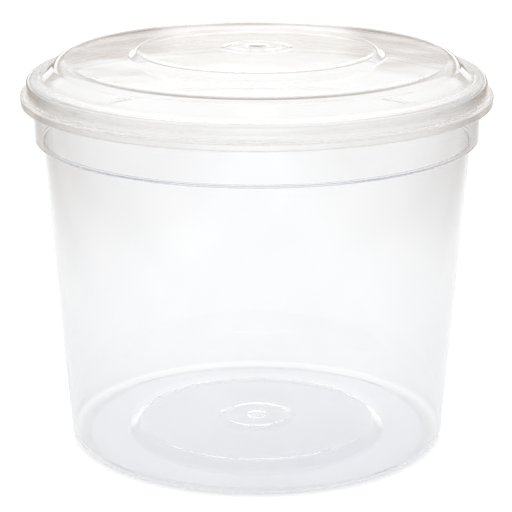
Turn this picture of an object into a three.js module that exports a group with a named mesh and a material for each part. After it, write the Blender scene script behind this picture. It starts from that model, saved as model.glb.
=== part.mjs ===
// A round takeaway soup container in clear plastic: a tapered tub with its stepped lid snapped on.
// Millimetres, +Z up. The origin is the middle of the foot, on the table, and the axis is +Z.
// Each piece is one thin wall turned round the axis, drawn as an outline of radii and heights.
import * as THREE from 'three';

// Driving dimensions shared by both pieces
const WALL = 0.6; // thickness of every moulded wall
const FLATS_ROUND_AXIS = 60;
const DEGREES_PER_FLAT = 30; // on a rounded corner

// Tub: radii and heights of its outer face, from the gate in the middle of the base up to the rim
const TUB = {
  gateRadius: 2.5,
  gateDepth: 0.6,
  bossRadius: 8.1,
  bossFootRadius: 10.2,
  bossRise: 0.7,
  baseDiscRadius: 30.2,
  baseDiscHeight: 2.2,
  footInnerRadius: 33,
  footRadius: 47.94, // where the wall's outer face would meet the table
  heelRounding: 1.6,
  neckRadius: 53.6, // just under the step
  stepHeight: 78.4,
  stepRadius: 55.65,
  stepRounding: 0.5,
  collarRadius: 55.9, // just under the rim bead
  rimBeadHeight: 91,
  rimBeadRadius: 56.5,
  rimHeight: 93.3,
  rimRounding: 0.3,
};

// Lid: radii and heights of its outer face, from the middle of the top down to the lip
const LID = {
  gateRadius: 2.7,
  gateDepth: 0.35,
  bossRadius: 6.6,
  bossFootRadius: 8.5,
  height: 101,
  topDiscHeight: 100.4,
  topDiscRadius: 29.8,
  topDiscFootRadius: 31.8,
  shoulderHeight: 98.5,
  shoulderRadius: 48.4,
  shoulderRounding: 2.2,
  valleyRadius: 53.7,
  valleyHeight: 93.7,
  channelHeight: 94.2,
  channelInnerRadius: 54.3,
  channelRadius: 57.4, // the ring that covers the tub's rim
  channelRounding: 1.7,
  ledgeHeight: 90.35,
  lipRadius: 59,
  lipBottomRadius: 58.9,
  lipBottomHeight: 87.6,
  lipRounding: 0.3,
};

// Snap bead on the inner face of the lid
const SNAP = {
  radius: 56.35,
  topHeight: 90.3,
};

// A corner of an outline: its place as a radius and a height, and how far it is rounded
function corner(radius, height, rounding = 0) {
  return { place: new THREE.Vector2(radius, height), rounding };
}

// The direction a quarter turn to the left of this one
function leftOf(direction) {
  return new THREE.Vector2(-direction.y, direction.x);
}

// The directions in which an outline arrives at one of its corners and leaves it
function waysAt(corners, index) {
  const here = corners[index].place;
  const before = corners[index - 1]?.place;
  const after = corners[index + 1]?.place;
  const arriving = before ? here.clone().sub(before).normalize() : null;
  const leaving = after ? after.clone().sub(here).normalize() : null;
  return [arriving ?? leaving, leaving ?? arriving];
}

// The angle that the outline turns through at a corner, positive to the left
function turnBetween(arriving, leaving) {
  return Math.atan2(arriving.cross(leaving), arriving.dot(leaving));
}

// The other face of a wall: every corner moved sideways, to the left of the way the outline runs
function movedLeft(corners, distance) {
  return corners.map(({ place, rounding }, index) => {
    const [arriving, leaving] = waysAt(corners, index);
    const mitre = leftOf(arriving).add(leftOf(leaving)).normalize();
    const moved = place.clone().addScaledVector(mitre, distance / mitre.dot(leftOf(arriving)));
    const grown = rounding - distance * Math.sign(turnBetween(arriving, leaving));
    return { place: moved, rounding: rounding > 0 ? Math.max(grown, 0) : 0 };
  });
}

// The points of an outline, with flats on the arc of each rounded corner
function drawn(corners) {
  return corners.flatMap(({ place, rounding }, index) => {
    if (rounding === 0) return [place];
    const [arriving, leaving] = waysAt(corners, index);
    const turn = turnBetween(arriving, leaving);
    const reach = rounding * Math.tan(Math.abs(turn) / 2);
    const start = place.clone().addScaledVector(arriving, -reach);
    const centre = start.clone().addScaledVector(leftOf(arriving), rounding * Math.sign(turn));
    const flats = Math.ceil(THREE.MathUtils.radToDeg(Math.abs(turn)) / DEGREES_PER_FLAT);
    return Array.from({ length: flats + 1 }, (_, step) =>
      start.clone().rotateAround(centre, (turn * step) / flats)
    );
  });
}

// A solid turned round +Z from an outline that starts and ends on the axis
function turned(name, corners, material) {
  const mesh = new THREE.Mesh(new THREE.LatheGeometry(drawn(corners), FLATS_ROUND_AXIS), material);
  mesh.name = name;
  mesh.rotation.x = Math.PI / 2;
  return mesh;
}

// Outer face of the tub, from the gate under the base out to the foot and up to the rim bead
function tubOutside() {
  const discHeight = TUB.baseDiscHeight;
  const bossHeight = discHeight + TUB.bossRise;
  const gateHeight = bossHeight - TUB.gateDepth;
  return [
    corner(0, gateHeight),
    corner(TUB.gateRadius - TUB.gateDepth, gateHeight),
    corner(TUB.gateRadius, bossHeight),
    corner(TUB.bossRadius, bossHeight),
    corner(TUB.bossFootRadius, discHeight),
    corner(TUB.baseDiscRadius, discHeight),
    corner(TUB.footInnerRadius, 0),
    corner(TUB.footRadius, 0, TUB.heelRounding),
    corner(TUB.neckRadius, TUB.stepHeight),
    corner(TUB.stepRadius, TUB.stepHeight, TUB.stepRounding),
    corner(TUB.collarRadius, TUB.rimBeadHeight),
  ];
}

// The bead round the tub's mouth, from its outer edge over the top to the inner face
function tubRim() {
  return [
    corner(TUB.rimBeadRadius, TUB.rimBeadHeight + TUB.rimRounding),
    corner(TUB.rimBeadRadius, TUB.rimHeight, TUB.rimRounding),
    corner(TUB.collarRadius - WALL, TUB.rimHeight, TUB.rimRounding),
  ];
}

function makeTub() {
  const outside = tubOutside();
  const inside = movedLeft(outside, WALL).reverse();
  const material = new THREE.MeshStandardMaterial({ color: 0xeef1f4, roughness: 0.22, metalness: 0 });
  return turned('tub', [...outside, ...tubRim(), ...inside], material);
}

// Top face of the lid, from its middle down the steps to the ledge above the lip
function lidCrown() {
  return [
    corner(0, LID.height - LID.gateDepth),
    corner(LID.gateRadius - LID.gateDepth, LID.height - LID.gateDepth),
    corner(LID.gateRadius, LID.height),
    corner(LID.bossRadius, LID.height),
    corner(LID.bossFootRadius, LID.topDiscHeight),
    corner(LID.topDiscRadius, LID.topDiscHeight),
    corner(LID.topDiscFootRadius, LID.shoulderHeight),
    corner(LID.shoulderRadius, LID.shoulderHeight, LID.shoulderRounding),
    corner(LID.valleyRadius, LID.valleyHeight),
    corner(LID.channelInnerRadius, LID.channelHeight),
    corner(LID.channelRadius, LID.channelHeight, LID.channelRounding),
    corner(LID.channelRadius, LID.ledgeHeight),
  ];
}

// Outer face of the lip, from the ledge out and down to its free edge
function lidLip() {
  return [
    corner(LID.channelRadius, LID.ledgeHeight),
    corner(LID.lipRadius, LID.ledgeHeight, LID.lipRounding),
    corner(LID.lipBottomRadius, LID.lipBottomHeight),
  ];
}

// The bead inside the lid that snaps under the tub's rim
function snapBead() {
  return [
    corner(SNAP.radius, SNAP.topHeight),
    corner(SNAP.radius, LID.ledgeHeight - WALL),
  ];
}

function makeLid() {
  const crown = lidCrown();
  const lip = lidLip();
  const underside = [...movedLeft(crown, -WALL), ...snapBead(), ...movedLeft(lip, -WALL)];
  const outside = [...crown, ...lip.slice(1)].reverse();
  const material = new THREE.MeshStandardMaterial({ color: 0xf3f0ec, roughness: 0.08, metalness: 0 });
  return turned('lid', [...underside, ...outside], material);
}

const container = new THREE.Group();
container.add(makeTub(), makeLid());

export default container;
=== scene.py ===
"""A round takeaway soup container in clear plastic, empty, with its stepped lid pressed on.

Both pieces are thin walls turned round the Z axis. Each outline is drawn here as radii and heights in
millimetres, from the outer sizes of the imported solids, and a Geometry Nodes tree turns it into a mesh.
"""

import logging
import math
from dataclasses import dataclass
from enum import Enum
from typing import Any

import bpy
from mathutils import Matrix, Vector


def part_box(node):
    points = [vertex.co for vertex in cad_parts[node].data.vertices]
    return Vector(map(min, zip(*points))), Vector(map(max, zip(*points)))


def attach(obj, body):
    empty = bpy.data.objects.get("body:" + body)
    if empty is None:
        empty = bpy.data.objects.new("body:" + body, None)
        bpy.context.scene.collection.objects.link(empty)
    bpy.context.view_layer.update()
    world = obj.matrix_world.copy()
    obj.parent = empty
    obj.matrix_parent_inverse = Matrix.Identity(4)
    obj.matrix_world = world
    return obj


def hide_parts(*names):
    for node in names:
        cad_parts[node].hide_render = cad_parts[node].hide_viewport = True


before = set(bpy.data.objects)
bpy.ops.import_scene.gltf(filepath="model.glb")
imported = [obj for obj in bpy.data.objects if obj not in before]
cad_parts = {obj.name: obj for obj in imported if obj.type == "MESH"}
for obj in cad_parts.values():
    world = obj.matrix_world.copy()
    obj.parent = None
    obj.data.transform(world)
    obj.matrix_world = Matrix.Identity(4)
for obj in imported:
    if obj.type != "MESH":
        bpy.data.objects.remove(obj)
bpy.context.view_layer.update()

MM = 0.001
NO_TURN = 1e-6  # smallest turn that counts as a corner, in radians
LAST_BOUNCE = 12  # bounces that a ray may make
FIRST_INNER_BOUNCE = 2  # from this one on, a ray has passed the nearest wall
Colour = tuple[float, float, float, float]
BLACK: Colour = (0.0, 0.0, 0.0, 1.0)
WHITE: Colour = (1.0, 1.0, 1.0, 1.0)

log = logging.getLogger("soup_container")


class Give(Enum):
    """The way in which a wall wavers, as a direction in the plane of its outline."""

    OUTWARDS = (1.0, 0.0, 0.0)
    UPWARDS = (0.0, 0.0, 1.0)


@dataclass(frozen=True)
class Corner:
    """One corner of an outline, in millimetres.

    Attributes:
        radius: Distance from the axis.
        height: Height above the table.
        rounding: Radius of the arc that replaces the corner, or 0 for a sharp one.
        give: How freely the wall wavers here, from 0 to 1.
    """

    radius: float
    height: float
    rounding: float = 0.15
    give: float = 0.0

    @property
    def place(self) -> Vector:
        """The corner's place as a flat vector."""
        return Vector((self.radius, self.height))


@dataclass(frozen=True)
class OutlinePoint:
    """One drawn point of an outline, in millimetres, with the wall's give there."""

    place: Vector
    give: float


@dataclass
class Outline:
    """A run of corners on a wall's face, walked with the plastic on its left.

    Attributes:
        corners: The corners in order.
        arc_step: Largest turn between two points of an arc, in radians.
        margin: Distance from an arc to the first point on the straight beside it, in millimetres.
        longest: Largest distance between points on a straight, in millimetres.
    """

    corners: list[Corner]
    arc_step: float = math.radians(18.0)
    margin: float = 0.12
    longest: float = 6.0

    def _ways(self, index: int) -> tuple[Vector, Vector]:
        """The directions in which the outline arrives at a corner and leaves it.

        Args:
            index: The corner's place in the list.

        Returns:
            The arriving and the leaving direction, alike at the outline's ends.
        """
        here = self.corners[index].place
        ways = []
        if index > 0:
            ways.append((here - self.corners[index - 1].place).normalized())
        if index < len(self.corners) - 1:
            ways.append((self.corners[index + 1].place - here).normalized())
        return ways[0], ways[-1]

    def moved_left(self, distance: float, least: float) -> "Outline":
        """The wall's other face.

        Args:
            distance: How far the outline moves to its left, in millimetres.
            least: Smallest rounding of a rounded corner on the other face.

        Returns:
            A new outline that runs the same way.
        """
        moved = []
        for index, corner in enumerate(self.corners):
            arriving, leaving = self._ways(index)
            sideways = Vector((-arriving.y, arriving.x))
            mitre = (sideways + Vector((-leaving.y, leaving.x))).normalized()
            place = corner.place + mitre * (distance / mitre.dot(sideways))
            bend = arriving.cross(leaving)
            side = math.copysign(1.0, bend) if abs(bend) > NO_TURN else 0.0
            grown = corner.rounding - distance * side
            rounding = max(grown, least) if corner.rounding > 0 else 0.0
            moved.append(Corner(place.x, place.y, rounding, corner.give))
        return Outline(moved, self.arc_step, self.margin, self.longest)

    def _arc(self, index: int) -> list[OutlinePoint]:
        """The points that stand for one corner: an arc, or the corner itself where it is sharp."""
        corner = self.corners[index]
        arriving, leaving = self._ways(index)
        turn = math.atan2(arriving.cross(leaving), arriving.dot(leaving))
        if corner.rounding == 0 or abs(turn) < NO_TURN:
            return [OutlinePoint(corner.place, corner.give)]
        side = math.copysign(corner.rounding, turn)
        start = corner.place - arriving * (corner.rounding * math.tan(abs(turn) / 2))
        centre = start + Vector((-arriving.y, arriving.x)) * side
        flats = max(2, math.ceil(abs(turn) / self.arc_step))
        return [
            OutlinePoint(centre + Matrix.Rotation(turn * step / flats, 2) @ (start - centre), corner.give)
            for step in range(flats + 1)
        ]

    def _straight(self, start: OutlinePoint, end: OutlinePoint) -> list[OutlinePoint]:
        """Points inside a straight stretch: one close to either end, and more on a long one.

        Args:
            start: Last point of the corner before it.
            end: First point of the corner after it.

        Returns:
            The points between the two, without them.
        """
        length = (end.place - start.place).length
        inner = length - 2 * self.margin
        if inner < self.margin:
            return []
        parts = max(1, math.ceil(inner / self.longest))
        shares = [(self.margin + inner * part / parts) / length for part in range(parts + 1)]
        return [
            OutlinePoint(start.place.lerp(end.place, share), start.give + (end.give - start.give) * share)
            for share in shares
        ]

    def drawn(self) -> list[OutlinePoint]:
        """All points of the outline in order."""
        points = self._arc(0)
        for index in range(1, len(self.corners)):
            arc = self._arc(index)
            points += self._straight(points[-1], arc[0])
            points += arc
        return points


class Graph:
    """Adds nodes to one node tree and feeds their sockets."""

    MIX_SHARE, MIX_FIRST, MIX_SECOND = 0, 6, 7  # inputs of a Mix node that mixes colours
    MIX_RESULT = 2  # its output

    def __init__(self, tree: bpy.types.NodeTree) -> None:
        """Keeps the tree that the nodes go into."""
        self.tree = tree

    def feed(self, socket: bpy.types.NodeSocket, value: Any) -> None:
        """Links a socket to another one, or sets its plain value.

        Args:
            socket: The input to feed.
            value: An output socket, or a value for the input.
        """
        if isinstance(value, bpy.types.NodeSocket):
            self.tree.links.new(value, socket)
        else:
            socket.default_value = value

    def put(self, kind: str, inputs: dict[Any, Any] | None = None, **settings: Any) -> bpy.types.Node:
        """Adds one node.

        Args:
            kind: The node's type name.
            inputs: What feeds each input, by its name or number.
            **settings: Properties of the node itself.

        Returns:
            The new node.
        """
        node = self.tree.nodes.new(kind)
        for name, value in settings.items():
            setattr(node, name, value)
        for key, value in (inputs or {}).items():
            self.feed(node.inputs[key], value)
        return node

    def maths(self, operation: str, *values: Any, clamp: bool = False) -> bpy.types.NodeSocket:
        """A Math node's result.

        Args:
            operation: The node's operation.
            *values: What feeds its inputs, in order.
            clamp: True to keep the result between 0 and 1.

        Returns:
            The output socket.
        """
        inputs = dict(enumerate(values))
        return self.put("ShaderNodeMath", inputs, operation=operation, use_clamp=clamp).outputs[0]

    def between(self, value: Any, low: float, high: float, to_low: Any = 0.0, to_high: Any = 1.0) -> Any:
        """A value taken smoothly from one range to another.

        Args:
            value: The value to map.
            low: Where the change starts.
            high: Where it ends.
            to_low: The result before it.
            to_high: The result after it.

        Returns:
            The output socket.
        """
        inputs = {"Value": value, "From Min": low, "From Max": high, "To Min": to_low, "To Max": to_high}
        return self.put("ShaderNodeMapRange", inputs, interpolation_type="SMOOTHSTEP").outputs[0]

    def mixed(self, share: Any, first: Any, second: Any) -> bpy.types.NodeSocket:
        """One colour taken towards another.

        Args:
            share: How far, from 0 to 1.
            first: The colour at 0.
            second: The colour at 1.

        Returns:
            The output socket.
        """
        inputs = {self.MIX_SHARE: share, self.MIX_FIRST: first, self.MIX_SECOND: second}
        return self.put("ShaderNodeMix", inputs, data_type="RGBA").outputs[self.MIX_RESULT]


@dataclass
class TurnedWall:
    """The Geometry Nodes tree that turns an outline round the Z axis.

    Attributes:
        steps_round_axis: Flat sides of the turned mesh.
        seam_gap: Points closer than this are joined, which closes the seam and the poles, in metres.
        wave_spacing: Size of the waver in the wall, in metres.
        wave_detail: How fine the waver is.
        seed: Fixed seed of the waver.
    """

    steps_round_axis: int = 432
    seam_gap: float = 0.002 * MM
    wave_spacing: float = 34.0 * MM
    wave_detail: float = 1.0
    seed: int = 7
    tree: bpy.types.NodeTree | None = None

    INPUTS = (
        ("Outline", "NodeSocketGeometry"),
        ("Steps Round Axis", "NodeSocketInt"),
        ("Wave Height", "NodeSocketFloat"),
        ("Wave Spacing", "NodeSocketFloat"),
        ("Wave Direction", "NodeSocketVector"),
        ("Seam Gap", "NodeSocketFloat"),
        ("Seed", "NodeSocketInt"),
        ("Finish", "NodeSocketMaterial"),
    )

    def build(self) -> None:
        """Builds the tree once, for every piece."""
        self.tree = bpy.data.node_groups.new("turned_wall", "GeometryNodeTree")
        for name, kind in self.INPUTS:
            self.tree.interface.new_socket(name, in_out="INPUT", socket_type=kind)
        self.tree.interface.new_socket("Wall", in_out="OUTPUT", socket_type="NodeSocketGeometry")
        graph = Graph(self.tree)
        given = graph.put("NodeGroupInput").outputs
        grid, along, around = self._grid(graph, given)
        angle = graph.maths("DIVIDE", graph.maths("MULTIPLY", around, math.tau), given["Steps Round Axis"])
        position, give = self._outline_samples(graph, given, along)
        turned = self._rotated(graph, position, angle)
        waver = self._waver(graph, given, turned, give)
        way = self._rotated(graph, given["Wave Direction"], angle)
        shift = graph.put("ShaderNodeVectorMath", {0: way, "Scale": waver}, operation="SCALE").outputs[0]
        placed = graph.put(
            "GeometryNodeSetPosition", {"Geometry": grid, "Position": turned, "Offset": shift}
        ).outputs[0]
        joined = graph.put(
            "GeometryNodeMergeByDistance", {"Geometry": placed, "Distance": given["Seam Gap"]}
        ).outputs[0]
        outwards = graph.put("GeometryNodeFlipFaces", {"Mesh": joined}).outputs[0]
        smooth = graph.put("GeometryNodeSetShadeSmooth", {"Geometry": outwards}).outputs[0]
        real = graph.put("GeometryNodeRealizeInstances", {"Geometry": smooth}).outputs[0]
        dressed = graph.put("GeometryNodeSetMaterial", {"Geometry": real, "Material": given["Finish"]})
        graph.put("NodeGroupOutput", {"Wall": dressed.outputs[0]})

    @staticmethod
    def _grid(graph: Graph, given: Any) -> tuple[Any, Any, Any]:
        """The flat grid whose rows follow the outline and whose columns go round the axis."""
        size = graph.put("GeometryNodeAttributeDomainSize", {"Geometry": given["Outline"]}, component="MESH")
        columns = graph.put(
            "FunctionNodeIntegerMath", {0: given["Steps Round Axis"], 1: 1}, operation="ADD"
        ).outputs[0]
        grid = graph.put(
            "GeometryNodeMeshGrid", {"Vertices X": size.outputs["Point Count"], "Vertices Y": columns}
        ).outputs[0]
        index = graph.put("GeometryNodeInputIndex").outputs[0]
        along = graph.put("FunctionNodeIntegerMath", {0: index, 1: columns}, operation="DIVIDE_FLOOR")
        around = graph.put("FunctionNodeIntegerMath", {0: index, 1: columns}, operation="MODULO")
        return grid, along.outputs[0], around.outputs[0]

    @staticmethod
    def _outline_samples(graph: Graph, given: Any, along: Any) -> tuple[Any, Any]:
        """The outline's place and give at a row of the grid."""
        position = graph.put("GeometryNodeInputPosition").outputs[0]
        place = graph.put(
            "GeometryNodeSampleIndex",
            {"Geometry": given["Outline"], "Index": along},
            data_type="FLOAT_VECTOR",
        )
        graph.feed(place.inputs["Value"], position)
        named = graph.put("GeometryNodeInputNamedAttribute", {"Name": "give"}, data_type="FLOAT").outputs[0]
        give = graph.put("GeometryNodeSampleIndex", {"Geometry": given["Outline"], "Index": along})
        graph.feed(give.inputs["Value"], named)
        return place.outputs[0], give.outputs[0]

    @staticmethod
    def _rotated(graph: Graph, vector: Any, angle: Any) -> Any:
        """A vector turned round the Z axis."""
        inputs = {"Vector": vector, "Angle": angle}
        return graph.put("ShaderNodeVectorRotate", inputs, rotation_type="Z_AXIS").outputs[0]

    def _waver(self, graph: Graph, given: Any, turned: Any, give: Any) -> Any:
        """How far each point moves along the wall's own way of giving, in metres."""
        noise = graph.put(
            "ShaderNodeTexNoise",
            {
                "Vector": turned,
                "W": given["Seed"],
                "Scale": graph.maths("DIVIDE", 1.0, given["Wave Spacing"]),
                "Detail": self.wave_detail,
            },
            noise_dimensions="4D",
        ).outputs[0]
        height = graph.maths("MULTIPLY", give, given["Wave Height"])
        return graph.maths("MULTIPLY", graph.maths("SUBTRACT", noise, 0.5), height)

    def turn(
        self, name: str, points: list[OutlinePoint], finish: bpy.types.Material, give: Give, wave_height: float
    ) -> bpy.types.Object:
        """Turns one outline into a finished piece.

        Args:
            name: The piece's name.
            points: The outline, from the axis and back to it, in millimetres.
            finish: The piece's material.
            give: The way in which its wall wavers.
            wave_height: Height of the waver, in metres.

        Returns:
            The piece, with its place in its mesh.
        """
        mesh = bpy.data.meshes.new(f"{name}_outline")
        places = [(point.place.x * MM, 0.0, point.place.y * MM) for point in points]
        mesh.from_pydata(places, [(row, row + 1) for row in range(len(points) - 1)], [])
        mesh.attributes.new("give", "FLOAT", "POINT").data.foreach_set("value", [p.give for p in points])
        carrier = bpy.data.objects.new(f"{name}_carrier", mesh)
        bpy.context.scene.collection.objects.link(carrier)
        modifier = carrier.modifiers.new("Turned wall", "NODES")
        modifier.node_group = self.tree
        values = {
            "Steps Round Axis": self.steps_round_axis,
            "Wave Height": wave_height,
            "Wave Spacing": self.wave_spacing,
            "Wave Direction": give.value,
            "Seam Gap": self.seam_gap,
            "Seed": self.seed,
            "Finish": finish,
        }
        for item in self.tree.interface.items_tree:
            if item.name in values:
                modifier[item.identifier] = values[item.name]
        depsgraph = bpy.context.evaluated_depsgraph_get()
        turned = bpy.data.meshes.new_from_object(carrier.evaluated_get(depsgraph), depsgraph=depsgraph)
        turned.name = name
        carrier.modifiers.remove(modifier)
        bpy.data.objects.remove(carrier)
        piece = bpy.data.objects.new(name, turned)
        bpy.context.scene.collection.objects.link(piece)
        return piece


class MouldedSurface:
    """The shader node group for what every moulded wall shows: clouding, a faint ripple and fine grain.

    DETAILS holds how fine each of these noises is.
    """

    DETAILS = {"Cloud": 3.0, "Ripple": 1.0, "Grain": 2.0}

    def __init__(self) -> None:
        """Builds the group."""
        self.tree = bpy.data.node_groups.new("moulded_surface", "ShaderNodeTree")
        self.tree.interface.new_socket("Place", in_out="INPUT", socket_type="NodeSocketVector")
        for name in self.DETAILS:
            self.tree.interface.new_socket(f"{name} Scale", in_out="INPUT", socket_type="NodeSocketFloat")
            self.tree.interface.new_socket(name, in_out="OUTPUT", socket_type="NodeSocketFloat")
        graph = Graph(self.tree)
        given = graph.put("NodeGroupInput").outputs
        results = {}
        for name, detail in self.DETAILS.items():
            inputs = {"Vector": given["Place"], "Scale": given[f"{name} Scale"], "Detail": detail}
            results[name] = graph.put("ShaderNodeTexNoise", inputs).outputs[0]
        graph.put("NodeGroupOutput", results)


@dataclass(frozen=True)
class ClearPlastic:
    """One clear moulded plastic.

    Attributes:
        name: The material's name.
        slot: The record's material slot.
        clear_tint: Colour of what passes where the plastic is clearest.
        cloudy_tint: Colour of what passes where it is cloudiest.
        clarity: Share of the light that passes instead of being scattered.
        smooth: Roughness where the surface is smoothest.
        rough: Roughness where it is roughest.
        ripple_height: Height of the ripple in the surface, in metres.
        painted_trapped_glow: Painted glow that stands in for what a ray sees that still runs inside the wall at its
            last bounce.
        painted_trapped_glow_sides: The same at the left and right of the piece, darker there as painted shade.
        edge_tint: Colour of what passes an upright wall where it is seen along its face.
        painted_base_glow: Painted glow that a ray picks up in the heel, the foot's ring and the back of the disc's
            slope, once past the nearest wall.
        disc_slope: Where the slope round the disc in the base starts and ends, in metres from the axis.
        disc_mirror: How far further out its mirror image in the foot lies, for each metre behind the axis.
        heel_share: Share of that light in the heel.
        foot_share: Share of that light on the flat ring of the foot.
        heel_radius: Where the heel starts, in metres from the axis.
        heel_height: Where it ends, in metres above the table.
        painted_shade_lines: Thin dark bands of painted shade round the piece: the height of each in millimetres,
            and its strength.
        shade_line_tint: Colour of what passes those bands of painted shade.
        shade_line_width: Half the width of a band, in metres.
        slope_top: Top of the slope above the rim, which stays clear, in metres.
        rim_height: Below this height the surface is as rough as rim_rough, in metres.
        rim_rough: Roughness there.
        gate_tint: Colour of what passes the gate mark in the middle of the top.
        gate_rough: Roughness of that mark.
        gate_radius: Radius of that mark, in metres.
        painted_trapped_glow_front: The painted glow in the lowest part of the piece, in front of its middle, darker
            than behind it as painted shade.
        painted_trapped_glow_back: The same behind its middle.
        low_height: Height of that part, in metres.
        front_to_back: Half the width of the change from one to the other, in metres.
        side_start: How far sideways the painted glow starts to turn into that of the sides, in metres.
        side_end: How far sideways it has turned, in metres.
        blend_width: Width of the soft edge of a mask, in metres.
        refraction: The plastic's index of refraction.
        cloud_scale: Clouds in a metre.
        cloud_range: The noise where the plastic is clearest and where it is cloudiest.
        ripple_scale: Ripples in a metre.
        grain_scale: Grains in a metre.
        grain_range: The noise where the surface is smoothest and where it is roughest.
    """

    name: str
    slot: str
    clear_tint: Colour
    cloudy_tint: Colour
    clarity: float
    smooth: float
    rough: float
    ripple_height: float
    painted_trapped_glow: Colour
    painted_trapped_glow_sides: Colour
    edge_tint: Colour
    painted_base_glow: Colour = BLACK
    disc_slope: tuple[float, float] = (29.9 * MM, 32.9 * MM)
    disc_mirror: float = 0.17
    heel_share: float = 0.6
    foot_share: float = 0.4
    heel_radius: float = 43.9 * MM
    heel_height: float = 1.5 * MM
    painted_shade_lines: tuple[tuple[float, float], ...] = ()
    # Painted shade: tint and half width of the thin dark bands round the piece.
    shade_line_tint: Colour = (0.88, 0.86, 0.84, 1.0)
    shade_line_width: float = 0.28 * MM
    slope_top: float = 0.0
    rim_height: float = 0.0
    rim_rough: float = 0.0
    gate_tint: Colour = WHITE
    gate_rough: float = 0.0
    gate_radius: float = 2.6 * MM
    # Painted glow in the lowest part of the piece: darker in front as painted shade.
    painted_trapped_glow_front: Colour = (0.7, 0.72, 0.75, 1.0)
    painted_trapped_glow_back: Colour = WHITE
    low_height: float = 6.0 * MM
    front_to_back: float = 15.0 * MM
    side_start: float = 22.0 * MM
    side_end: float = 52.0 * MM
    blend_width: float = 0.5 * MM
    refraction: float = 1.49
    cloud_scale: float = 45.0
    cloud_range: tuple[float, float] = (0.35, 0.65)
    ripple_scale: float = 70.0
    grain_scale: float = 900.0
    grain_range: tuple[float, float] = (0.4, 0.7)

    def material(self, surface: MouldedSurface) -> bpy.types.Material:
        """Builds the material.

        Args:
            surface: The group with the effects of a moulded surface.

        Returns:
            The new material.
        """
        made = bpy.data.materials.new(self.name)
        made.use_nodes = True
        made.node_tree.nodes.clear()
        graph = Graph(made.node_tree)
        place = graph.put("ShaderNodeTexCoord").outputs["Object"]
        effects = self._effects(graph, place, surface)
        parts = graph.put("ShaderNodeSeparateXYZ", {0: place}).outputs
        flat = graph.put("ShaderNodeVectorMath", {0: place, 1: (1.0, 1.0, 0.0)}, operation="MULTIPLY").outputs[0]
        radius = graph.put("ShaderNodeVectorMath", {0: flat}, operation="LENGTH").outputs["Value"]
        gate = graph.between(radius, self.gate_radius - self.blend_width, self.gate_radius, 1.0, 0.0)
        bump = graph.put(
            "ShaderNodeBump",
            {"Strength": 1.0, "Distance": self.ripple_height, "Height": effects["Ripple"]},
        ).outputs[0]
        shader = graph.put(
            "ShaderNodeBsdfPrincipled",
            {
                "Base Color": self._tint(graph, effects["Cloud"], parts["Z"], gate),
                "Roughness": self._roughness(graph, effects["Grain"], parts["Z"], gate),
                "Normal": bump,
                "Metallic": 0.0,
                "IOR": self.refraction,
                "Transmission Weight": self.clarity,
                # Painted glow: the plastic glows here though it is no lamp.
                "Emission Color": self._glow(graph, parts, radius),
                "Emission Strength": 1.0,
            },
        )
        graph.put("ShaderNodeOutputMaterial", {"Surface": shader.outputs[0]})
        return made

    def _effects(self, graph: Graph, place: Any, surface: MouldedSurface) -> Any:
        """The moulded surface's masks, at this plastic's scales."""
        effects = graph.put("ShaderNodeGroup", node_tree=surface.tree)
        given = {
            "Place": place,
            "Cloud Scale": self.cloud_scale,
            "Ripple Scale": self.ripple_scale,
            "Grain Scale": self.grain_scale,
        }
        for name, value in given.items():
            graph.feed(effects.inputs[name], value)
        return effects.outputs

    def _tint(self, graph: Graph, cloud: Any, height: Any, gate: Any) -> Any:
        """Colour of what passes the wall."""
        tint = graph.mixed(graph.between(cloud, *self.cloud_range), self.clear_tint, self.cloudy_tint)
        # Painted shade: thin dark bands round the piece at set heights.
        tint = graph.mixed(self._painted_shade_lines(graph, height), tint, self.shade_line_tint)
        above = graph.between(height, self.rim_height, self.rim_height + self.blend_width)
        below = graph.between(height, self.slope_top - self.blend_width, self.slope_top, 1.0, 0.0)
        on_slope = graph.maths("MULTIPLY", above, below)
        along = graph.maths("SUBTRACT", self._along_wall(graph), on_slope, clamp=True)
        return graph.mixed(gate, graph.mixed(along, tint, self.edge_tint), self.gate_tint)

    def _roughness(self, graph: Graph, grain: Any, height: Any, gate: Any) -> Any:
        """Roughness of the surface."""
        roughness = graph.between(grain, *self.grain_range, self.smooth, self.rough)
        rim = (self.rim_height - self.blend_width, self.rim_height + self.blend_width)
        roughness = graph.between(height, *rim, self.rim_rough, roughness)
        return graph.maths("MULTIPLY_ADD", gate, self.gate_rough, roughness)

    def _glow(self, graph: Graph, parts: Any, radius: Any) -> Any:
        """Painted glow in the plastic: a painted highlight that a ray picks up on the base once past the nearest
        wall, and a painted glow where its last bounce leaves it inside the wall.
        """
        ray = graph.put("ShaderNodeLightPath").outputs
        spent = graph.maths("GREATER_THAN", ray["Ray Depth"], LAST_BOUNCE - 0.5)
        inside = graph.maths("GREATER_THAN", ray["Ray Depth"], FIRST_INNER_BOUNCE - 0.5)
        risen = graph.maths("GREATER_THAN", parts["Z"], self.low_height)
        backwards = graph.between(parts["Y"], -self.front_to_back, self.front_to_back)
        outside = graph.maths("MAXIMUM", ray["Is Diffuse Ray"], risen)
        # Painted glow on the base, where a ray that has passed the nearest wall meets it.
        painted_base_glow_mask = graph.maths("MULTIPLY", inside, self._on_base(graph, parts, radius, backwards))
        painted_base_glow_colour = graph.mixed(graph.maths("SUBTRACT", painted_base_glow_mask, outside, clamp=True), BLACK, self.painted_base_glow)
        # Painted glow where the last bounce leaves a ray inside the wall, darker in front of the base and at the
        # sides as painted shade.
        painted_low_glow = graph.mixed(backwards, self.painted_trapped_glow_front, self.painted_trapped_glow_back)
        sideways = graph.between(graph.maths("ABSOLUTE", parts["X"]), self.side_start, self.side_end)
        painted_high_glow = graph.mixed(sideways, self.painted_trapped_glow, self.painted_trapped_glow_sides)
        return graph.mixed(spent, painted_base_glow_colour, graph.mixed(risen, painted_low_glow, painted_high_glow))

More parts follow.
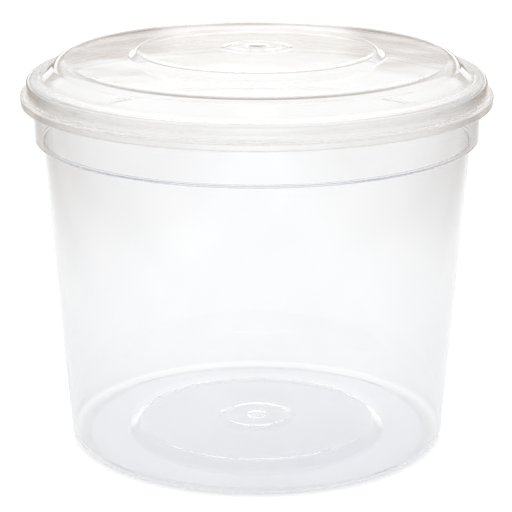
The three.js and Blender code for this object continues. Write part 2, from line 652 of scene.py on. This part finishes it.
    def _on_base(self, graph: Graph, parts: Any, radius: Any, backwards: Any) -> Any:
        """A mask of where the base gets its painted glow: the heel, the foot's ring and the back of the disc's
        slope.
        """
        low = graph.maths("LESS_THAN", parts["Z"], self.heel_height)
        in_heel = graph.maths("MULTIPLY", low, graph.maths("GREATER_THAN", radius, self.heel_radius))
        in_heel = graph.maths("MULTIPLY", in_heel, self.heel_share)
        ring = graph.maths("GREATER_THAN", radius, self.disc_slope[1])
        on_foot = graph.maths("MULTIPLY", graph.maths("MULTIPLY", low, ring), self.foot_share)
        mirrored = graph.maths("MULTIPLY_ADD", parts["Y"], -self.disc_mirror, radius)
        past_disc = graph.maths("GREATER_THAN", mirrored, self.disc_slope[0])
        past_slope = graph.maths("GREATER_THAN", mirrored, self.disc_slope[1])
        on_slope = graph.maths("MULTIPLY", graph.maths("SUBTRACT", past_disc, past_slope), backwards)
        return graph.maths("MAXIMUM", on_slope, graph.maths("MAXIMUM", on_foot, in_heel))

    def _painted_shade_lines(self, graph: Graph, height: Any) -> Any:
        """A mask of the painted shade: thin dark bands round the piece at set heights."""
        mask: Any = 0.0
        for line_height, strength in self.painted_shade_lines:
            away = graph.maths("ABSOLUTE", graph.maths("SUBTRACT", height, line_height * MM))
            line = graph.between(away, 0.0, self.shade_line_width, strength, 0.0)
            mask = graph.maths("ADD", mask, line, clamp=True)
        return mask

    @staticmethod
    def _along_wall(graph: Graph) -> Any:
        """A mask that rises where light runs far inside an upright wall, seen along its face."""
        facing = graph.put("ShaderNodeLayerWeight", {"Blend": 0.5}).outputs["Facing"]
        normal = graph.put("ShaderNodeNewGeometry").outputs["Normal"]
        lying = graph.maths("ABSOLUTE", graph.put("ShaderNodeSeparateXYZ", {0: normal}).outputs["Z"])
        upright = graph.maths("SUBTRACT", 1.0, lying)
        return graph.maths("MULTIPLY", graph.maths("MULTIPLY", facing, facing), upright)


@dataclass
class Tub:
    """The tapered tub, with its sizes in millimetres.

    The radii and heights are those of its outer face, from the gate in the middle of the base to the rim.

    Attributes:
        finish: The piece's material.
        slot: The record's material slot; not used.
        wall: Thickness of the moulded wall.
        edge: Least rounding of any corner.
        rim_bead_depth: Height of the bead round the mouth.
        wave_height: Height of the waver in the tapered wall, in metres.
    """

    finish: bpy.types.Material
    slot: str
    wall: float = 0.6
    edge: float = 0.15
    gate_radius: float = 2.5
    gate_depth: float = 0.6
    boss_radius: float = 8.1
    boss_foot_radius: float = 10.2
    boss_rise: float = 0.7
    base_disc_radius: float = 30.2
    base_disc_height: float = 2.2
    foot_inner_radius: float = 33.0
    foot_radius: float = 47.94
    base_disc_rounding: float = 1.8
    gate_rounding: float = 0.3
    boss_rounding: float = 1.0
    foot_inner_rounding: float = 1.2
    heel_rounding: float = 2.4
    neck_radius: float = 53.6
    step_height: float = 78.4
    step_radius: float = 55.65
    step_rounding: float = 0.5
    collar_radius: float = 55.9
    rim_bead_depth: float = 2.3
    rim_rounding: float = 0.3
    wave_height: float = 0.25 * MM

    def __post_init__(self) -> None:
        """Takes the rim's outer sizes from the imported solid."""
        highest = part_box("tub")[1]
        self.rim_height = highest.z / MM
        self.rim_radius = highest.x / MM
        self.rim_bead_height = self.rim_height - self.rim_bead_depth

    def outside(self) -> Outline:
        """The outer face, from the gate under the base out to the foot and up to the rim bead."""
        disc = self.base_disc_height
        boss = disc + self.boss_rise
        gate = boss - self.gate_depth
        edge = self.edge
        return Outline(
            [
                Corner(0.0, gate, 0.0),
                Corner(self.gate_radius - self.gate_depth, gate, self.gate_rounding),
                Corner(self.gate_radius, boss, self.gate_rounding),
                Corner(self.boss_radius, boss, self.boss_rounding),
                Corner(self.boss_foot_radius, disc, self.boss_rounding),
                Corner(self.base_disc_radius, disc, self.base_disc_rounding),
                Corner(self.foot_inner_radius, 0.0, self.foot_inner_rounding),
                Corner(self.foot_radius, 0.0, self.heel_rounding),
                Corner(
                    self.foot_radius + (self.neck_radius - self.foot_radius) / 2,
                    self.step_height / 2,
                    0.0,
                    give=1.0,
                ),
                Corner(self.neck_radius, self.step_height, 2 * edge),
                Corner(self.step_radius, self.step_height, self.step_rounding),
                Corner(self.collar_radius, self.rim_bead_height, edge),
            ]
        )

    def rim(self) -> Outline:
        """The bead round the mouth, from its outer edge over the top to the inner face."""
        inner_radius = self.collar_radius - self.wall
        return Outline(
            [
                Corner(self.rim_radius, self.rim_bead_height + self.rim_rounding, self.edge),
                Corner(self.rim_radius, self.rim_height, self.rim_rounding),
                Corner(inner_radius, self.rim_height, self.rim_rounding),
            ]
        )

    def build(self, turner: TurnedWall) -> bpy.types.Object:
        """Makes the tub and places it in the frame.

        Args:
            turner: The tree that turns outlines.

        Returns:
            The finished piece.
        """
        outside = self.outside()
        inside = outside.moved_left(self.wall, self.edge).corners[::-1]
        whole = Outline(outside.corners + self.rim().corners + inside)
        piece = turner.turn("tub_wall", whole.drawn(), self.finish, Give.OUTWARDS, self.wave_height)
        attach(piece, "root")
        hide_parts("tub")
        return piece


@dataclass
class Lid:
    """The stepped lid, with its sizes in millimetres.

    The radii and heights are those of its outer face, from the gate in the middle of the top to the lip.

    Attributes:
        finish: The piece's material.
        slot: The record's material slot; not used.
        wall: Thickness of the moulded wall.
        edge: Least rounding of any corner.
        lip_taper: How much narrower the lip is at its free edge.
        wave_height: Height of the waver in the top, in metres.
    """

    finish: bpy.types.Material
    slot: str
    wall: float = 0.6
    edge: float = 0.15
    gate_radius: float = 2.7
    gate_depth: float = 0.35
    boss_radius: float = 6.6
    boss_foot_radius: float = 8.5
    boss_rise: float = 0.6
    gate_rounding: float = 0.35
    boss_rounding: float = 3.5
    top_disc_radius: float = 29.8
    top_disc_foot_radius: float = 31.8
    top_disc_rise: float = 1.9
    top_disc_rounding: float = 1.5
    top_disc_foot_rounding: float = 0.8
    shoulder_radius: float = 49.5
    shoulder_rounding: float = 3.2
    slope_top_radius: float = 50.7
    slope_top_height: float = 96.6
    slope_top_rounding: float = 1.0
    valley_radius: float = 53.7
    valley_height: float = 93.7
    valley_rounding: float = 0.4
    channel_height: float = 94.2
    channel_inner_radius: float = 54.3
    channel_radius: float = 57.4
    channel_rounding: float = 1.7
    ledge_height: float = 89.95
    ledge_rounding: float = 0.4
    lip_taper: float = 0.1
    lip_rounding: float = 0.5
    lip_edge_rounding: float = 0.28
    snap_radius: float = 56.35
    snap_height: float = 0.55
    wave_height: float = 0.3 * MM

    def __post_init__(self) -> None:
        """Takes the lip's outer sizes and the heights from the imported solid."""
        lowest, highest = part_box("lid")
        self.height = highest.z / MM
        self.lip_radius = highest.x / MM
        self.lip_bottom_height = lowest.z / MM

    def crown(self) -> Outline:
        """The top face, from its middle down the steps to the ledge above the lip."""
        disc = self.height - self.boss_rise
        shoulder = disc - self.top_disc_rise
        gate = self.height - self.gate_depth
        edge = self.edge
        return Outline(
            [
                Corner(0.0, gate, 0.0),
                Corner(self.gate_radius - self.gate_depth, gate, self.gate_rounding),
                Corner(self.gate_radius, self.height, self.gate_rounding),
                Corner(self.boss_radius, self.height, self.boss_rounding),
                Corner(self.boss_foot_radius, disc, self.boss_rounding, give=0.5),
                Corner(self.top_disc_radius, disc, self.top_disc_rounding, give=1.0),
                Corner(self.top_disc_foot_radius, shoulder, self.top_disc_foot_rounding, give=1.0),
                Corner(self.shoulder_radius, shoulder, self.shoulder_rounding, give=0.4),
                Corner(self.slope_top_radius, self.slope_top_height, self.slope_top_rounding, give=0.4),
                Corner(self.valley_radius, self.valley_height, self.valley_rounding),
                Corner(self.channel_inner_radius, self.channel_height, 2 * edge),
                Corner(self.channel_radius, self.channel_height, self.channel_rounding),
                Corner(self.channel_radius, self.ledge_height, edge),
            ]
        )

    def lip(self) -> Outline:
        """The outer face of the lip, from the ledge out and down to its free edge."""
        return Outline(
            [
                Corner(self.channel_radius, self.ledge_height, self.ledge_rounding),
                Corner(self.lip_radius, self.ledge_height, self.lip_rounding),
                Corner(self.lip_radius - self.lip_taper, self.lip_bottom_height, self.lip_edge_rounding),
            ]
        )

    def snap_bead(self) -> Outline:
        """The bead on the inner face that snaps under the tub's rim."""
        bottom = self.ledge_height - self.wall
        return Outline(
            [
                Corner(self.snap_radius, bottom + self.snap_height, self.edge),
                Corner(self.snap_radius, bottom, self.edge),
            ]
        )

    def build(self, turner: TurnedWall) -> bpy.types.Object:
        """Makes the lid and places it in the frame.

        Args:
            turner: The tree that turns outlines.

        Returns:
            The finished piece.
        """
        crown = self.crown()
        lip = self.lip()
        under_crown = crown.moved_left(-self.wall, self.edge).corners
        under_lip = lip.moved_left(-self.wall, self.edge).corners[1:]
        outside = (crown.corners[:-1] + lip.corners)[::-1]
        whole = Outline(under_crown + self.snap_bead().corners + under_lip + outside)
        piece = turner.turn("lid_wall", whole.drawn(), self.finish, Give.UPWARDS, self.wave_height)
        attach(piece, "root")
        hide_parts("lid")
        return piece


@dataclass(frozen=True)
class SkyBand:
    """One height of the studio round the object: its elevation in degrees and its light."""

    elevation: float
    colour: tuple[float, float, float]


@dataclass
class Studio:
    """The pale floor, the soft light all round and the camera.

    Attributes:
        floor_half_side: Half the side of the square floor, in metres.
        floor_white: Share of the light that the floor sends back inside its painted pool of light.
        floor_grey: The same outside that painted pool, darker as painted shade.
        floor_front: The floor's painted glow in front of the object.
        floor_back: The same behind it, inside the painted pool of light.
        floor_far: The same outside that pool.
        floor_shown: Its own light as the camera sees it, past white.
        painted_contact_shadow: The same right beside the foot, darkened as a painted shadow of the object.
        contact: Where that painted shadow starts and ends, in metres from the axis.
        floor_rise: Where the front's light starts to turn into that of the back, and where it ends, in metres.
        pool_sides: How far sideways the painted pool of light starts to fade, and where it ends, in metres.
        pool_end: How far behind the object it does so.
        wing_start: Where the backdrop turns from its middle to its wings, as a share of the way sideways.
        side_start: The same for where the backdrop turns to the sides of the room.
        back_start: The same for where the front of the room turns to its back, as a share of the way backwards.
        floor_rough: Roughness of the floor.
        camera_distance: From the axis to the camera, in metres.
        camera_height: Above the floor, in metres.
        camera_pitch: How far the camera looks down, in degrees.
        focal_length: In millimetres.
        film_width: In millimetres.
        axis_offset: How far right of the middle of the photo the axis stands, in pixels.
        photo_side: Side of the photo, in pixels.
        nearest: Nearest distance that the camera shows, in metres.
        farthest: Farthest distance that it shows, in metres.
        sky_strength: Strength of the studio's light.
    """

    floor_half_side: float = 1.0
    floor_white: Colour = (0.25, 0.22, 0.17, 1.0)
    floor_grey: Colour = (0.1, 0.08, 0.06, 1.0)
    floor_front: Colour = (0.65, 0.68, 0.73, 1.0)
    floor_back: Colour = (0.73, 0.76, 0.81, 1.0)
    floor_far: Colour = (0.27, 0.24, 0.22, 1.0)
    floor_shown: Colour = WHITE
    painted_contact_shadow: Colour = (0.68, 0.7, 0.74, 1.0)
    contact: tuple[float, float] = (0.0455, 0.0515)
    floor_rise: tuple[float, float] = (-0.06, 0.04)
    pool_sides: tuple[float, float] = (0.12, 0.26)
    pool_end: tuple[float, float] = (0.62, 0.8)
    wing_start: tuple[float, float] = (0.035, 0.055)
    side_start: tuple[float, float] = (0.15, 0.4)
    back_start: tuple[float, float] = (-0.1, 0.4)
    floor_rough: float = 0.6
    camera_distance: float = 0.5141
    camera_height: float = 0.1969
    camera_pitch: float = 16.32
    focal_length: float = 147.2
    film_width: float = 36.0
    nearest: float = 0.01
    farthest: float = 20.0
    axis_offset: float = 0.8
    photo_side: int = 512
    sky_strength: float = 1.0

    BEHIND = (
        SkyBand(-90.0, (0.35, 0.31, 0.28)),
        SkyBand(-1.0, (0.35, 0.31, 0.28)),
        SkyBand(0.0, (1.25, 1.25, 1.25)),
        SkyBand(6.8, (1.25, 1.25, 1.25)),
        SkyBand(10.05, (1.05, 1.05, 1.05)),
        SkyBand(10.1, (0.55, 0.53, 0.5)),
        SkyBand(10.18, (0.55, 0.53, 0.5)),
        SkyBand(10.24, (0.87, 0.83, 0.78)),
        SkyBand(11.05, (0.93, 0.9, 0.86)),
        SkyBand(11.2, (1.03, 1.03, 1.03)),
        SkyBand(90.0, (1.03, 1.03, 1.03)),
    )
    BEHIND_WINGS = (
        SkyBand(-90.0, (0.35, 0.31, 0.28)),
        SkyBand(-1.0, (0.35, 0.31, 0.28)),
        SkyBand(0.0, (1.25, 1.25, 1.25)),
        SkyBand(6.8, (1.25, 1.25, 1.25)),
        SkyBand(7.6, (0.42, 0.4, 0.38)),
        SkyBand(10.0, (0.45, 0.42, 0.39)),
        SkyBand(10.3, (0.64, 0.58, 0.53)),
        SkyBand(11.1, (0.7, 0.65, 0.6)),
        SkyBand(11.3, (1.03, 1.03, 1.03)),
        SkyBand(90.0, (1.03, 1.03, 1.03)),
    )
    BEFORE = (
        SkyBand(-90.0, (0.6, 0.58, 0.56)),
        SkyBand(-1.0, (0.6, 0.58, 0.56)),
        SkyBand(4.0, (1.0, 1.0, 1.0)),
        SkyBand(9.0, (0.66, 0.61, 0.56)),
        SkyBand(35.0, (0.66, 0.61, 0.56)),
        SkyBand(45.0, (1.03, 1.03, 1.03)),
        SkyBand(90.0, (1.03, 1.03, 1.03)),
    )
    BESIDE = (
        SkyBand(-90.0, (0.35, 0.31, 0.28)),
        SkyBand(-1.0, (0.35, 0.31, 0.28)),
        SkyBand(0.0, (1.25, 1.25, 1.25)),
        SkyBand(6.8, (1.25, 1.25, 1.25)),
        SkyBand(7.8, (0.6, 0.56, 0.52)),
        SkyBand(11.4, (0.66, 0.62, 0.58)),
        SkyBand(16.0, (1.03, 1.03, 1.03)),
        SkyBand(90.0, (1.03, 1.03, 1.03)),
    )

    def _bands(self, graph: Graph, height: Any, bands: tuple[SkyBand, ...]) -> Any:
        """A colour ramp over the sky's height, from its bands."""
        ramp = graph.put("ShaderNodeValToRGB", {"Fac": height})
        stops = ramp.color_ramp.elements
        while len(stops) < len(bands):
            stops.new(0.5)
        for stop, band in zip(stops, bands):
            stop.position = (math.sin(math.radians(band.elevation)) + 1) / 2
            stop.color = (*band.colour, 1.0)
        return ramp.outputs[0]

    def light(self) -> None:
        """Makes the soft light all round, which the clear walls mirror and bend."""
        world = bpy.data.worlds.new("studio")
        bpy.context.scene.world = world
        world.use_nodes = True
        world.node_tree.nodes.clear()
        graph = Graph(world.node_tree)
        way = graph.put("ShaderNodeTexCoord").outputs["Generated"]
        parts = graph.put("ShaderNodeSeparateXYZ", {0: way}).outputs
        height = graph.maths("MULTIPLY_ADD", parts["Z"], 0.5, 0.5)
        sideways = graph.maths("ABSOLUTE", parts["X"])
        middle = self._bands(graph, height, self.BEHIND)
        wings = self._bands(graph, height, self.BEHIND_WINGS)
        behind = graph.mixed(graph.between(sideways, *self.wing_start), middle, wings)
        before = self._bands(graph, height, self.BEFORE)
        beside = self._bands(graph, height, self.BESIDE)
        ends = graph.mixed(graph.between(parts["Y"], *self.back_start), before, behind)
        sky = graph.mixed(graph.between(sideways, *self.side_start), ends, beside)
        seen = graph.put("ShaderNodeLightPath").outputs["Is Camera Ray"]
        shown = graph.mixed(seen, sky, WHITE)
        light = graph.put("ShaderNodeBackground", {"Color": shown, "Strength": self.sky_strength})
        graph.put("ShaderNodeOutputWorld", {"Surface": light.outputs[0]})

    def floor(self) -> None:
        """Makes the white floor: a painted pool of light round the object, and a painted shadow right beside its
        foot.
        """
        mesh = bpy.data.meshes.new("floor")
        side = self.floor_half_side
        corners = [(-side, -side, 0.0), (side, -side, 0.0), (side, side, 0.0), (-side, side, 0.0)]
        mesh.from_pydata(corners, [], [(0, 1, 2, 3)])
        table = bpy.data.objects.new("floor", mesh)
        bpy.context.scene.collection.objects.link(table)
        white = bpy.data.materials.new("floor_white")
        white.use_nodes = True
        white.node_tree.nodes.clear()
        graph = Graph(white.node_tree)
        place = graph.put("ShaderNodeTexCoord").outputs["Object"]
        parts = graph.put("ShaderNodeSeparateXYZ", {0: place}).outputs
        # Painted pool of light round the object, dimmer in front and darker past its edges as painted shade.
        sideways = graph.between(graph.maths("ABSOLUTE", parts["X"]), *self.pool_sides)
        past_painted_pool = graph.maths("MAXIMUM", sideways, graph.between(parts["Y"], *self.pool_end))
        painted_pool_glow = graph.mixed(graph.between(parts["Y"], *self.floor_rise), self.floor_front, self.floor_back)
        glow = graph.mixed(past_painted_pool, painted_pool_glow, self.floor_far)
        seen = graph.put("ShaderNodeLightPath").outputs["Is Camera Ray"]
        radius = graph.put("ShaderNodeVectorMath", {0: place}, operation="LENGTH").outputs["Value"]
        # Painted shadow beside the foot, as the camera sees the floor.
        shown = graph.mixed(graph.between(radius, *self.contact), self.painted_contact_shadow, self.floor_shown)
        shader = graph.put(
            "ShaderNodeBsdfPrincipled",
            {
                "Base Color": graph.mixed(past_painted_pool, self.floor_white, self.floor_grey),
                "Roughness": self.floor_rough,
                "Emission Color": graph.mixed(seen, glow, shown),
                "Emission Strength": 1.0,
            },
        )
        graph.put("ShaderNodeOutputMaterial", {"Surface": shader.outputs[0]})
        mesh.materials.append(white)

    def camera(self) -> None:
        """Places the camera as the photo's was."""
        lens = bpy.data.cameras.new("camera")
        lens.sensor_width = self.film_width
        lens.lens = self.focal_length
        lens.shift_x = -self.axis_offset / self.photo_side
        lens.clip_start = self.nearest
        lens.clip_end = self.farthest
        camera = bpy.data.objects.new("camera", lens)
        camera.location = (0.0, -self.camera_distance, self.camera_height)
        camera.rotation_euler = (math.radians(90.0 - self.camera_pitch), 0.0, 0.0)
        bpy.context.scene.collection.objects.link(camera)
        bpy.context.scene.camera = camera

    def exposure(self) -> None:
        """Keeps whites white, and lets light through all the walls it meets."""
        scene = bpy.context.scene
        scene.view_settings.view_transform = "Standard"
        scene.cycles.max_bounces = LAST_BOUNCE
        scene.cycles.transmission_bounces = LAST_BOUNCE
        scene.cycles.glossy_bounces = LAST_BOUNCE
        scene.cycles.diffuse_bounces = LAST_BOUNCE


CLEAR_TUB = ClearPlastic(
    name="tub_clear_plastic",
    slot="tub_plastic",
    clear_tint=(0.99, 0.99, 0.992, 1.0),
    cloudy_tint=(0.972, 0.975, 0.98, 1.0),
    clarity=0.99,
    smooth=0.0,
    rough=0.03,
    ripple_height=0.02 * MM,
    # Painted glow where a ray's last bounce leaves it inside the wall, a little darker at the sides as painted
    # shade.
    painted_trapped_glow=(0.32, 0.33, 0.35, 1.0),
    painted_trapped_glow_sides=(0.3, 0.31, 0.33, 1.0),
    edge_tint=(0.76, 0.76, 0.76, 1.0),
    # Painted glow on the heel, the foot's ring and the back of the disc's slope.
    painted_base_glow=(0.065, 0.065, 0.065, 1.0),
    rim_height=4.0 * MM,
    rim_rough=0.12,
)
CLEAR_LID = ClearPlastic(
    name="lid_clear_plastic",
    slot="lid_plastic",
    clear_tint=(0.996, 0.993, 0.989, 1.0),
    cloudy_tint=(0.986, 0.982, 0.976, 1.0),
    clarity=0.995,
    smooth=0.0,
    rough=0.02,
    ripple_height=0.02 * MM,
    # Painted glow where a ray's last bounce leaves it inside the wall, darker at the sides as painted shade.
    painted_trapped_glow=(0.82, 0.79, 0.75, 1.0),
    painted_trapped_glow_sides=(0.45, 0.42, 0.39, 1.0),
    edge_tint=(0.55, 0.48, 0.42, 1.0),
    # Painted shade: thin dark bands round the lid at these heights in millimetres, with their strengths.
    painted_shade_lines=((88.0, 0.5), (91.8, 0.4), (92.9, 0.7), (97.4, 0.3)),
    slope_top=96.4 * MM,
    rim_height=94.6 * MM,
    rim_rough=0.11,
    gate_tint=(0.5, 0.48, 0.46, 1.0),
    gate_rough=0.3,
)


def main() -> None:
    """Builds the container and its studio in order."""
    logging.basicConfig(level=logging.INFO, format="%(name)s: %(message)s")
    studio = Studio()
    studio.exposure()
    studio.light()
    studio.floor()
    studio.camera()
    surface = MouldedSurface()
    turner = TurnedWall()
    turner.build()
    pieces = (
        Tub(CLEAR_TUB.material(surface), CLEAR_TUB.slot).build(turner),
        Lid(CLEAR_LID.material(surface), CLEAR_LID.slot).build(turner),
    )
    for piece in pieces:
        log.info("%s: %d points, %d faces", piece.name, len(piece.data.vertices), len(piece.data.polygons))


if __name__ == "__main__":
    main()
